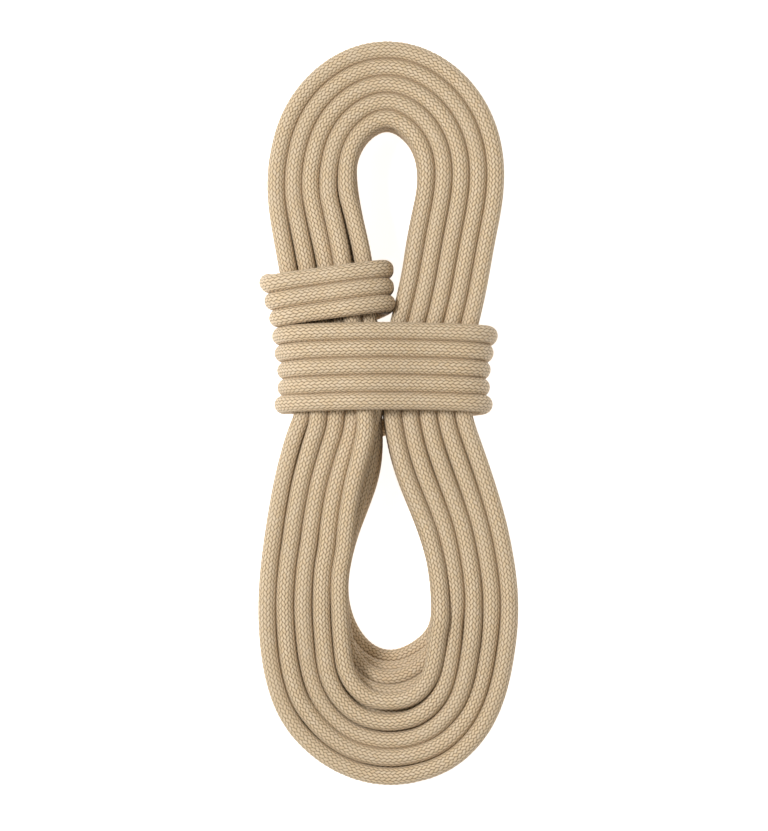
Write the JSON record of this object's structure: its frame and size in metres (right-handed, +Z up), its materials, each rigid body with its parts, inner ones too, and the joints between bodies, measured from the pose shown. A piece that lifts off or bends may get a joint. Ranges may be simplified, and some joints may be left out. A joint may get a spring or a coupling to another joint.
{
  "type": "arborist rope hank",
  "caption": "Tan braided kernmantle rope wound into a pinched double-loop hank, its limbs bound at the waist with the rope's own last turns.",
  "frame": {"origin": "middle of the base of the hank's bounding box, on the surface it lies on", "axes": "+X across the hank, +Y along it to the small loop's end, +Z up from the surface it lies on"},
  "size_m": [0.1716, 0.495, 0.0917],
  "materials": {
    "sheath_tan_braid": "braided polyamide, slight sheen",
    "core_white_yarn": "matte yarn",
    "melted_rope_end": "melted polyamide, glossy"
  },
  "bodies": {
    "root": {"turn_01": "sheath_tan_braid", "turn_02": "sheath_tan_braid", "turn_03": "sheath_tan_braid", "turn_04": "sheath_tan_braid", "turn_05": "sheath_tan_braid", "turn_06": "sheath_tan_braid", "turn_07": "sheath_tan_braid", "turn_08": "sheath_tan_braid", "turn_09": "sheath_tan_braid", "turn_10": "sheath_tan_braid", "turn_11": "sheath_tan_braid", "turn_12": "sheath_tan_braid", "turn_13": "sheath_tan_braid", "turn_14": "sheath_tan_braid", "turn_15": "sheath_tan_braid", "turn_16": "sheath_tan_braid", "turn_17": "sheath_tan_braid", "turn_18": "sheath_tan_braid", "turn_19": "sheath_tan_braid", "turn_20": "sheath_tan_braid", "turn_21": "sheath_tan_braid", "turn_22": "sheath_tan_braid", "turn_23": "sheath_tan_braid", "lead_in": "sheath_tan_braid", "limb_turn_1": "sheath_tan_braid", "limb_turn_2": "sheath_tan_braid", "limb_turn_3": "sheath_tan_braid", "binding_turn_1": "sheath_tan_braid", "binding_turn_2": "sheath_tan_braid", "binding_turn_3": "sheath_tan_braid", "binding_turn_4": "sheath_tan_braid", "binding_turn_5": "sheath_tan_braid", "lead_out": "sheath_tan_braid", "tail_sheath": "sheath_tan_braid", "tail_core": "core_white_yarn", "tail_end_seal": "melted_rope_end", "first_end_seal": "melted_rope_end"}
  },
  "joints": []
}
